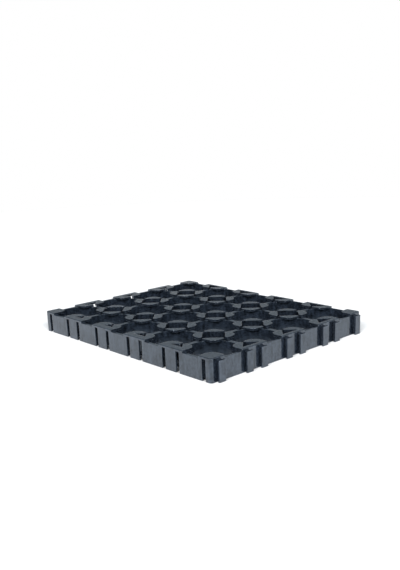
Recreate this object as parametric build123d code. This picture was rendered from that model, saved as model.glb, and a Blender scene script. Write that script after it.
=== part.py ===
"""Moulded holder bracket for a block of cylindrical battery cells.

One piece of black plastic. Cells go up into round bores from below and stop
against thin lips. The lips are the corners of raised pads, one pad over every
gap between four cells, and the lower channels between the pads carry the
connecting strips. A square opening in the middle of each pad leads into the
hollow between the bore walls, and narrow notches part the pad into four lips.
Two sides carry T-shaped rails, and the two opposite sides carry the slots that
take the rails of a neighbouring bracket at the same pitch.

Millimetres, +Z up. The origin is the middle of the cell grid on the underside.
The long side runs along X. Rails stand out of the +X and +Y sides.
"""

import os

from build123d import *

# Cell grid
COLUMNS = 5
ROWS = 4
PITCH = 20.2
BORE_DIAMETER = 18.6
BORE_WALL = 0.8

# Body
HEIGHT = 8.4
PAD_HEIGHT = 0.8
SLOT_SIDE_FROM_CELL = 10.3
RAIL_SIDE_FROM_CELL = PITCH - SLOT_SIDE_FROM_CELL
CORNER_RADIUS = 1.0
EDGE_CHAMFER = 0.2

# Pads over the gaps, with square openings turned by 45 degrees
PAD_WIDTH = 12.4
PAD_CORNER_RADIUS = 3.2
OPENING_SIDE = 8.2
NOTCH_WIDTH = 1.4
HOLLOW_REACH = 7.4
RAIL_SIDE_WALL = 1.4
SLOT_SIDE_WALL = 0.6
SLOT_SIDE_ROOF = 2.8

# Interlock of rails and slots
INTERLOCK_OFFSET = 3.6
NECK_WIDTH = 1.4
NECK_LENGTH = 0.75
HEAD_WIDTH = 2.9
HEAD_THICKNESS = 0.7
RAIL_TOP_GAP = 0.1
SLOT_WIDTH = 1.75
POCKET_DEPTH = 1.0
POCKET_SIDE_CLEARANCE = 0.1

BODY_TOP = HEIGHT - PAD_HEIGHT
RAIL_TOP = BODY_TOP - RAIL_TOP_GAP
BORE_RADIUS = BORE_DIAMETER / 2
GRID_LENGTH = COLUMNS * PITCH
GRID_WIDTH = ROWS * PITCH
LAST_COLUMN = (GRID_LENGTH - PITCH) / 2
LAST_ROW = (GRID_WIDTH - PITCH) / 2
POCKET_WIDTH = HEAD_WIDTH + 2 * POCKET_SIDE_CLEARANCE


def between(x_low, x_high, y_low, y_high):
    """Rectangle given by its four sides."""
    centre = Pos((x_low + x_high) / 2, (y_low + y_high) / 2)
    return centre * Rectangle(x_high - x_low, y_high - y_low)


def raised(sketch, bottom, top):
    """Sketch made solid between two heights."""
    return extrude(Pos(0, 0, bottom) * sketch, top - bottom)


def inside_walls(slot_side_wall, rail_side_wall):
    """Plan left inside walls of the given thickness on the slot and rail sides."""
    slot_side = SLOT_SIDE_FROM_CELL - slot_side_wall
    rail_side = RAIL_SIDE_FROM_CELL - rail_side_wall
    return between(
        -LAST_COLUMN - slot_side,
        LAST_COLUMN + rail_side,
        -LAST_ROW - slot_side,
        LAST_ROW + rail_side,
    )


def cell_places():
    """Centres of all cells."""
    return GridLocations(PITCH, PITCH, COLUMNS, ROWS)


def every_gap(shape):
    """Shape repeated over the gaps between cells, the four corners left out."""
    grids = ((COLUMNS + 1, ROWS - 1), (COLUMNS - 1, ROWS + 1))
    return Sketch() + [
        place * shape
        for columns, rows in grids
        for place in GridLocations(PITCH, PITCH, columns, rows)
    ]


def hollows():
    """Hollows between the round walls of the bores, each with four narrow tips."""
    bore_walls = [place * Circle(BORE_RADIUS + BORE_WALL) for place in cell_places()]
    spaces = every_gap(Rectangle(2 * HOLLOW_REACH, 2 * HOLLOW_REACH))
    return (spaces & inside_walls(SLOT_SIDE_WALL, RAIL_SIDE_WALL)) - bore_walls


def pad_openings():
    """Square openings of the pads, with the notches that run out of their corners."""
    opening = Rot(0, 0, 45) * Rectangle(OPENING_SIDE, OPENING_SIDE)
    notches = Rectangle(2 * HOLLOW_REACH, NOTCH_WIDTH)
    shape = opening + notches + Rot(0, 0, 90) * notches
    return every_gap(shape) & inside_walls(SLOT_SIDE_ROOF, RAIL_SIDE_WALL)


def places_along_side(length):
    """Interlock places on one side: two about every gap, and one by each corner."""
    gaps = [step * PITCH - length / 2 for step in range(round(length / PITCH) + 1)]
    places = [gap + side * INTERLOCK_OFFSET for gap in gaps for side in (-1, 1)]
    return [place for place in places if abs(place) < length / 2]


def rail_plan():
    """T-shaped rail towards +X: a neck rooted in the wall, and a wider head."""
    head_end = NECK_LENGTH + HEAD_THICKNESS
    neck = between(-RAIL_SIDE_WALL / 2, NECK_LENGTH, -NECK_WIDTH / 2, NECK_WIDTH / 2)
    head = between(NECK_LENGTH, head_end, -HEAD_WIDTH / 2, HEAD_WIDTH / 2)
    return neck + head


def slot_plan():
    """Slot from -X: a narrow mouth, and a wider pocket for a rail's head."""
    pocket_end = SLOT_SIDE_WALL + POCKET_DEPTH
    mouth = between(-SLOT_SIDE_WALL, SLOT_SIDE_WALL, -SLOT_WIDTH / 2, SLOT_WIDTH / 2)
    pocket = between(SLOT_SIDE_WALL, pocket_end, -POCKET_WIDTH / 2, POCKET_WIDTH / 2)
    return mouth + pocket


def on_two_sides(plan, column_side, row_side):
    """Interlock plan repeated along the side at an X place and the side at a Y place."""
    along_y = [Pos(column_side, place) * plan for place in places_along_side(GRID_WIDTH)]
    turned = Rot(0, 0, 90) * plan
    along_x = [Pos(place, row_side) * turned for place in places_along_side(GRID_LENGTH)]
    return Sketch() + along_y + along_x


def rails():
    """All rails."""
    side = RAIL_SIDE_FROM_CELL
    return on_two_sides(rail_plan(), LAST_COLUMN + side, LAST_ROW + side)


def slots():
    """All slots."""
    side = SLOT_SIDE_FROM_CELL
    return on_two_sides(slot_plan(), -LAST_COLUMN - side, -LAST_ROW - side)


def outer_outline():
    """Rounded outline of the body, rails left out."""
    outline = inside_walls(0, 0)
    return fillet(outline.vertices(), CORNER_RADIUS)


def bores():
    """Cell bores in plan."""
    return [place * Circle(BORE_RADIUS) for place in cell_places()]


def pad_layer():
    """Pads with their lips, cut off at the outline, where their rims have a chamfer."""
    pad = RectangleRounded(PAD_WIDTH, PAD_WIDTH, PAD_CORNER_RADIUS)
    pads = Sketch() + [
        place * pad for place in GridLocations(PITCH, PITCH, COLUMNS + 1, ROWS + 1)
    ]
    block = raised(outer_outline(), 0, HEIGHT)
    block = chamfer(block.faces().sort_by(Axis.Z)[-1].edges(), EDGE_CHAMFER)
    return raised(pads - pad_openings(), BODY_TOP, HEIGHT) & block


def holder_frame():
    """The whole bracket."""
    body = raised(outer_outline() - hollows() - slots() - bores(), 0, BODY_TOP)
    return body + pad_layer() + raised(rails(), 0, RAIL_TOP)


os.makedirs("parts", exist_ok=True)
frame = holder_frame()
export_step(frame, "parts/cell_holder_frame.step")
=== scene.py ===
"""Looks of a moulded holder bracket for a block of cylindrical battery cells.

The bracket is one moulding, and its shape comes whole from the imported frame. This script
gives it the satin finish of moulded plastic, stands it on a white table and lights it
with soft studio lamps.
"""

import logging  # noqa: E402
import math  # noqa: E402
from dataclasses import dataclass, field  # noqa: E402
from enum import Enum  # noqa: E402

import bmesh  # noqa: E402
import bpy  # noqa: E402
from mathutils import Matrix, Vector  # noqa: E402


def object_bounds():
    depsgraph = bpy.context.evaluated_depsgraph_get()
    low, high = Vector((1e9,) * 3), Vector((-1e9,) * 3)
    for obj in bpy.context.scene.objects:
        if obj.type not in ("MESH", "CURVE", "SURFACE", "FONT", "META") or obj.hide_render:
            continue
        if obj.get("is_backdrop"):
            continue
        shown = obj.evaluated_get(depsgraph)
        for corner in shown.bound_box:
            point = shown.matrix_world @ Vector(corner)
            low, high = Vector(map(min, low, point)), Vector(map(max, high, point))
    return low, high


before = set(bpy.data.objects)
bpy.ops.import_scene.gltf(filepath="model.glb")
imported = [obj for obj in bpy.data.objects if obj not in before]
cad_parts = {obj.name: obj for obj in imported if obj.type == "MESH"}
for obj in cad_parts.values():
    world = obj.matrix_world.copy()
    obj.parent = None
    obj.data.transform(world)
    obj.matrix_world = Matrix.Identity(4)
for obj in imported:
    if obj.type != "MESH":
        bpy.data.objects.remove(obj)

LOG = logging.getLogger("cell_holder")
MM = 0.001

Colour = tuple[float, float, float]


class LampSide(Enum):
    """Compass angle of a studio lamp about the bracket, in degrees from -Y towards +X."""

    LEFT = 22.0
    RIGHT = 72.0


def towards(compass: float, rise: float) -> Vector:
    """Gives the direction to a point around the bracket.

    Args:
        compass: Angle from -Y towards +X, in degrees.
        rise: Angle above the table, in degrees.

    Returns:
        The direction, one metre long.
    """
    turn, lift = math.radians(compass), math.radians(rise)
    return Vector((math.sin(turn) * math.cos(lift), -math.cos(turn) * math.cos(lift), math.sin(lift)))


@dataclass(frozen=True)
class SatinPlastic:
    """Black moulded plastic with a fine satin skin and faint flow mottling.

    Attributes:
        base: Colour of the plastic.
        sheen_tint: Tint of the light that the skin mirrors.
        index: Refractive index, which sets how strongly the skin mirrors.
        mottle: Share by which the colour varies over the skin.
        sheen_mottle: Share by which the mirrored light varies over the skin.
        patch_size: Width of one patch of the mottling, in metres.
        patch_detail: Number of finer layers in the patches.
        streak_width: Width of one upright streak, in metres.
        streak_squash: Width of a streak as a share of its height.
        streak_detail: Number of finer layers in the streaks.
        mottle_low: Sum of patches and streaks at which the mottling is lowest.
        mottle_high: Sum of patches and streaks at which the mottling is highest.
        roughness_low: Roughness where the mottling is lowest.
        roughness_high: Roughness where the mottling is highest.
        grain_size: Width of one grain of the satin skin, in metres.
        grain_detail: Number of finer layers in the grain.
        grain_depth: Depth of the satin grain, in metres.
        grain_strength: Share of the grain's depth that shows.
        edge_radius: Radius by which sharp edges look rounded, in metres.
        edge_samples: Number of probes that find each edge.
    """

    base: Colour = (0.010, 0.0138, 0.0205)
    sheen_tint: Colour = (0.735, 0.84, 0.965)
    index: float = 1.90
    mottle: float = 0.8
    sheen_mottle: float = 0.22
    patch_size: float = 0.8 * MM
    patch_detail: float = 4.0
    streak_width: float = 1.0 * MM
    streak_squash: float = 0.25
    streak_detail: float = 3.0
    mottle_low: float = 0.7
    mottle_high: float = 1.3
    roughness_low: float = 0.10
    roughness_high: float = 0.17
    grain_size: float = 0.16 * MM
    grain_detail: float = 2.0
    grain_depth: float = 0.006 * MM
    grain_strength: float = 0.5
    edge_radius: float = 0.15 * MM
    edge_samples: int = 6

    def build(self, name: str) -> bpy.types.Material:
        """Makes the material.

        Args:
            name: Name of the material.

        Returns:
            The new material.
        """
        material = bpy.data.materials.new(name)
        material.use_nodes = True
        tree = material.node_tree
        shader = tree.nodes["Principled BSDF"]
        shader.inputs["IOR"].default_value = self.index
        place = tree.nodes.new("ShaderNodeTexCoord").outputs["Object"]

        mottling = self.mottling(tree, place)
        self.tint(tree, mottling, shader.inputs["Base Color"], self.base, self.mottle)
        self.tint(tree, mottling, shader.inputs["Specular Tint"], self.sheen_tint, self.sheen_mottle)
        dullness = self.spread(tree, mottling, self.roughness_low, self.roughness_high)
        shader.inputs["Roughness"].default_value = (self.roughness_low + self.roughness_high) / 2
        tree.links.new(dullness, shader.inputs["Roughness"])
        tree.links.new(self.grain(tree, place), shader.inputs["Normal"])
        return material

    @staticmethod
    def noise(
        tree: bpy.types.NodeTree, place: bpy.types.NodeSocket, size: float, detail: float
    ) -> bpy.types.NodeSocket:
        """Adds a noise.

        Args:
            tree: Node tree of the material.
            place: Coordinates that the noise follows.
            size: Width of one patch of the noise, in metres.
            detail: Number of finer layers.

        Returns:
            The value of the noise.
        """
        noise = tree.nodes.new("ShaderNodeTexNoise")
        noise.inputs["Scale"].default_value = 1 / size
        noise.inputs["Detail"].default_value = detail
        tree.links.new(place, noise.inputs["Vector"])
        return noise.outputs["Fac"]

    def mottling(self, tree: bpy.types.NodeTree, place: bpy.types.NodeSocket) -> bpy.types.NodeSocket:
        """Adds the flow mottling: round patches and upright streaks together.

        Args:
            tree: Node tree of the material.
            place: Coordinates on the object.

        Returns:
            The sum of the patches and the streaks.
        """
        patches = self.noise(tree, place, self.patch_size, self.patch_detail)
        upright = tree.nodes.new("ShaderNodeMapping")
        upright.inputs["Scale"].default_value = (1, 1, self.streak_squash)
        tree.links.new(place, upright.inputs["Vector"])
        streaks = self.noise(tree, upright.outputs["Vector"], self.streak_width, self.streak_detail)
        both = tree.nodes.new("ShaderNodeMath")
        both.operation = "ADD"
        tree.links.new(patches, both.inputs[0])
        tree.links.new(streaks, both.inputs[1])
        return both.outputs["Value"]

    def spread(
        self, tree: bpy.types.NodeTree, mottling: bpy.types.NodeSocket, low: float, high: float
    ) -> bpy.types.NodeSocket:
        """Stretches the mottling over a wanted range.

        Args:
            tree: Node tree of the material.
            mottling: Value of the mottling.
            low: Result where the mottling is lowest.
            high: Result where the mottling is highest.

        Returns:
            The stretched value.
        """
        reach = tree.nodes.new("ShaderNodeMapRange")
        reach.inputs["From Min"].default_value = self.mottle_low
        reach.inputs["From Max"].default_value = self.mottle_high
        reach.inputs["To Min"].default_value = low
        reach.inputs["To Max"].default_value = high
        tree.links.new(mottling, reach.inputs["Value"])
        return reach.outputs["Result"]

    def tint(
        self,
        tree: bpy.types.NodeTree,
        mottling: bpy.types.NodeSocket,
        socket: bpy.types.NodeSocket,
        colour: Colour,
        share: float,
    ) -> None:
        """Gives a socket a colour that varies with the mottling.

        Args:
            tree: Node tree of the material.
            mottling: Value of the mottling.
            socket: Socket that takes the colour.
            colour: Colour where the mottling is even.
            share: Share by which it varies.
        """
        socket.default_value = (*colour, 1)
        scaled = tree.nodes.new("ShaderNodeVectorMath")
        scaled.operation = "SCALE"
        scaled.inputs[0].default_value = colour
        tree.links.new(self.spread(tree, mottling, 1 - share, 1 + share), scaled.inputs["Scale"])
        tree.links.new(scaled.outputs["Vector"], socket)

    def grain(self, tree: bpy.types.NodeTree, place: bpy.types.NodeSocket) -> bpy.types.NodeSocket:
        """Adds the satin grain, over edges that look slightly rounded.

        Args:
            tree: Node tree of the material.
            place: Coordinates on the object.

        Returns:
            The direction that the skin faces.
        """
        bump = tree.nodes.new("ShaderNodeBump")
        bump.inputs["Strength"].default_value = self.grain_strength
        bump.inputs["Distance"].default_value = self.grain_depth
        tree.links.new(self.noise(tree, place, self.grain_size, self.grain_detail), bump.inputs["Height"])
        edges = tree.nodes.new("ShaderNodeBevel")
        edges.samples = self.edge_samples
        edges.inputs["Radius"].default_value = self.edge_radius
        tree.links.new(edges.outputs["Normal"], bump.inputs["Normal"])
        return bump.outputs["Normal"]


@dataclass(frozen=True)
class WhitePaper:
    """Dull white paper, which is clear when seen from below.

    Attributes:
        base: Colour of the paper.
        roughness: Roughness of the paper.
    """

    base: Colour = (0.95, 0.93, 0.92)
    roughness: float = 0.9

    def build(self, name: str) -> bpy.types.Material:
        """Makes the material.

        Args:
            name: Name of the material.

        Returns:
            The new material.
        """
        material = bpy.data.materials.new(name)
        material.use_nodes = True
        nodes, links = material.node_tree.nodes, material.node_tree.links
        shader = nodes["Principled BSDF"]
        shader.inputs["Base Color"].default_value = (*self.base, 1)
        shader.inputs["Roughness"].default_value = self.roughness
        shader.inputs["Specular IOR Level"].default_value = 0.0
        clear = nodes.new("ShaderNodeBsdfTransparent")
        side = nodes.new("ShaderNodeNewGeometry")
        mix = nodes.new("ShaderNodeMixShader")
        links.new(side.outputs["Backfacing"], mix.inputs["Fac"])
        links.new(shader.outputs["BSDF"], mix.inputs[1])
        links.new(clear.outputs["BSDF"], mix.inputs[2])
        links.new(mix.outputs["Shader"], nodes["Material Output"].inputs["Surface"])
        return material


@dataclass
class HolderFrame:
    """The one-piece moulding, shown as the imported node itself.

    Attributes:
        node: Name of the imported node.
        finish: Finish of the plastic.
    """

    node: str = "cell_holder_frame"
    finish: SatinPlastic = field(default_factory=SatinPlastic)

    def dress(self) -> bpy.types.Object:
        """Gives the moulding its finish.

        Returns:
            The dressed object.
        """
        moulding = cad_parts[self.node]
        material = self.finish.build("black_satin_plastic")
        moulding.data.materials.clear()
        moulding.data.materials.append(material)
        LOG.info("%s dressed with %s", moulding.name, material.name)
        return moulding


@dataclass
class Studio:
    """White table, grey walls over a white horizon, lamps and camera.

    Attributes:
        paper: Finish of the table top.
        table_radius: Radius of the round table top.
        table_segments: Number of straight edges round the table top.
        table_gap: Gap that keeps the table top clear of the underside.
        horizon: Colour of the room up to the top of the horizon.
        horizon_top: Height of the horizon's top, as the sine of its angle.
        wall_foot: Colour of the wall where it meets the horizon.
        wall_foot_height: Height of the wall's foot, as the sine of its angle.
        wall_head: Colour of the wall higher up.
        wall_head_height: Height from which the wall is even, as the sine of its angle.
        lamp_height: Angle of the lamps above the table, in degrees.
        lamp_strength: Light of one lamp on a surface square to it, in watts per square metre.
        lamp_spread: Angle that a lamp fills as seen from the bracket, in degrees.
        camera_offset: Point that the camera looks at, from the middle of the bracket's top.
        camera_azimuth: Compass angle of the camera, from -Y towards +X.
        camera_height: Angle of the camera above the table.
        camera_roll: Tilt of the camera about its own axis.
        camera_distance: Distance from the camera to the point it looks at.
        camera_lens: Focal length on a 36 mm long side.
        camera_sensor: Long side of the sensor, in millimetres.
        camera_shift: Sideways and upward shift of the lens.
        camera_near: Distance at which the camera starts to see.
    """

    paper: WhitePaper = field(default_factory=WhitePaper)
    table_radius: float = 0.6
    table_segments: int = 96
    table_gap: float = 0.03 * MM
    horizon: Colour = (1.0, 1.0, 1.0)
    horizon_top: float = 0.179
    wall_foot: Colour = (0.165, 0.193, 0.217)
    wall_foot_height: float = 0.187
    wall_head: Colour = (0.39, 0.445, 0.485)
    wall_head_height: float = 0.34
    lamp_height: float = 30.0
    lamp_strength: float = 2.55
    lamp_spread: float = 22.0
    camera_offset: tuple[float, float, float] = (25.86 * MM, -21.83 * MM, 0.0)
    camera_azimuth: float = 47.79
    camera_height: float = 15.62
    camera_roll: float = -2.18
    camera_distance: float = 250.0 * MM
    camera_lens: float = 43.91
    camera_sensor: float = 36.0
    camera_shift: tuple[float, float] = (-0.0068, 0.0847)
    camera_near: float = 10.0 * MM

    def lay_table(self) -> bpy.types.Object:
        """Makes the table top under the bracket.

        Returns:
            The table top.
        """
        low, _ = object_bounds()
        mesh = bpy.data.meshes.new("table_top")
        shape = bmesh.new()
        bmesh.ops.create_circle(
            shape, cap_ends=True, segments=self.table_segments, radius=self.table_radius
        )
        bmesh.ops.translate(shape, verts=shape.verts, vec=(0, 0, low.z - self.table_gap))
        shape.to_mesh(mesh)
        shape.free()
        table = bpy.data.objects.new("table_top", mesh)
        bpy.context.scene.collection.objects.link(table)
        table.data.materials.append(self.paper.build("white_paper"))
        table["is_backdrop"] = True
        return table

    def light_world(self) -> bpy.types.World:
        """Surrounds the bracket with a white horizon below a wall that grows lighter upwards.

        Returns:
            The new world.
        """
        world = bpy.data.worlds.new("white_room")
        world.use_nodes = True
        bpy.context.scene.world = world
        nodes, links = world.node_tree.nodes, world.node_tree.links
        background = nodes["Background"]
        background.inputs["Strength"].default_value = 1.0
        direction = nodes.new("ShaderNodeTexCoord").outputs["Generated"]
        split = nodes.new("ShaderNodeSeparateXYZ")
        links.new(direction, split.inputs["Vector"])
        wall = nodes.new("ShaderNodeValToRGB")
        stops = wall.color_ramp.elements
        stops[0].position = self.horizon_top
        stops[0].color = (*self.horizon, 1)
        stops[1].position = self.wall_foot_height
        stops[1].color = (*self.wall_foot, 1)
        stops.new(self.wall_head_height).color = (*self.wall_head, 1)
        links.new(split.outputs["Z"], wall.inputs["Fac"])
        links.new(wall.outputs["Color"], background.inputs["Color"])
        return world

    def hang_lamp(self, side: LampSide) -> bpy.types.Object:
        """Hangs one soft lamp, far enough away to light the whole table evenly.

        Args:
            side: Side of the bracket on which it hangs.

        Returns:
            The lamp.
        """
        data = bpy.data.lights.new(f"lamp_{side.name.lower()}", "SUN")
        data.energy = self.lamp_strength
        data.angle = math.radians(self.lamp_spread)
        lamp = bpy.data.objects.new(data.name, data)
        bpy.context.scene.collection.objects.link(lamp)
        away = towards(side.value, self.lamp_height)
        lamp.location = away
        lamp.rotation_euler = away.to_track_quat("Z", "Y").to_euler()
        return lamp

    def set_camera(self) -> bpy.types.Object:
        """Stands the camera over the bracket's nearest corner.

        Returns:
            The camera.
        """
        low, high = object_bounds()
        top_middle = Vector(((low.x + high.x) / 2, (low.y + high.y) / 2, high.z))
        target = top_middle + Vector(self.camera_offset)
        away = towards(self.camera_azimuth, self.camera_height)
        turn = math.radians(self.camera_azimuth)
        level = Vector((math.cos(turn), math.sin(turn), 0))
        upright = away.cross(level)
        axes = Matrix((level, upright, away)).transposed()
        axes = axes @ Matrix.Rotation(math.radians(self.camera_roll), 3, "Z")
        data = bpy.data.cameras.new("camera")
        data.lens = self.camera_lens
        data.sensor_width = self.camera_sensor
        data.shift_x, data.shift_y = self.camera_shift
        data.clip_start = self.camera_near
        camera = bpy.data.objects.new("camera", data)
        camera.matrix_world = Matrix.Translation(target + away * self.camera_distance) @ axes.to_4x4()
        bpy.context.scene.collection.objects.link(camera)
        bpy.context.scene.camera = camera
        return camera

    def build(self) -> None:
        """Lays the table, lights the room and stands the camera."""
        built = [self.lay_table(), self.light_world()]
        built += [self.hang_lamp(side) for side in LampSide]
        built.append(self.set_camera())
        for piece in built:
            LOG.info("%s ready", piece.name)


def main() -> None:
    """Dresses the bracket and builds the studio."""
    logging.basicConfig(level=logging.INFO)
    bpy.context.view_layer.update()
    bpy.context.scene.view_settings.view_transform = "Standard"
    HolderFrame().dress()
    Studio().build()


if __name__ == "__main__":
    main()
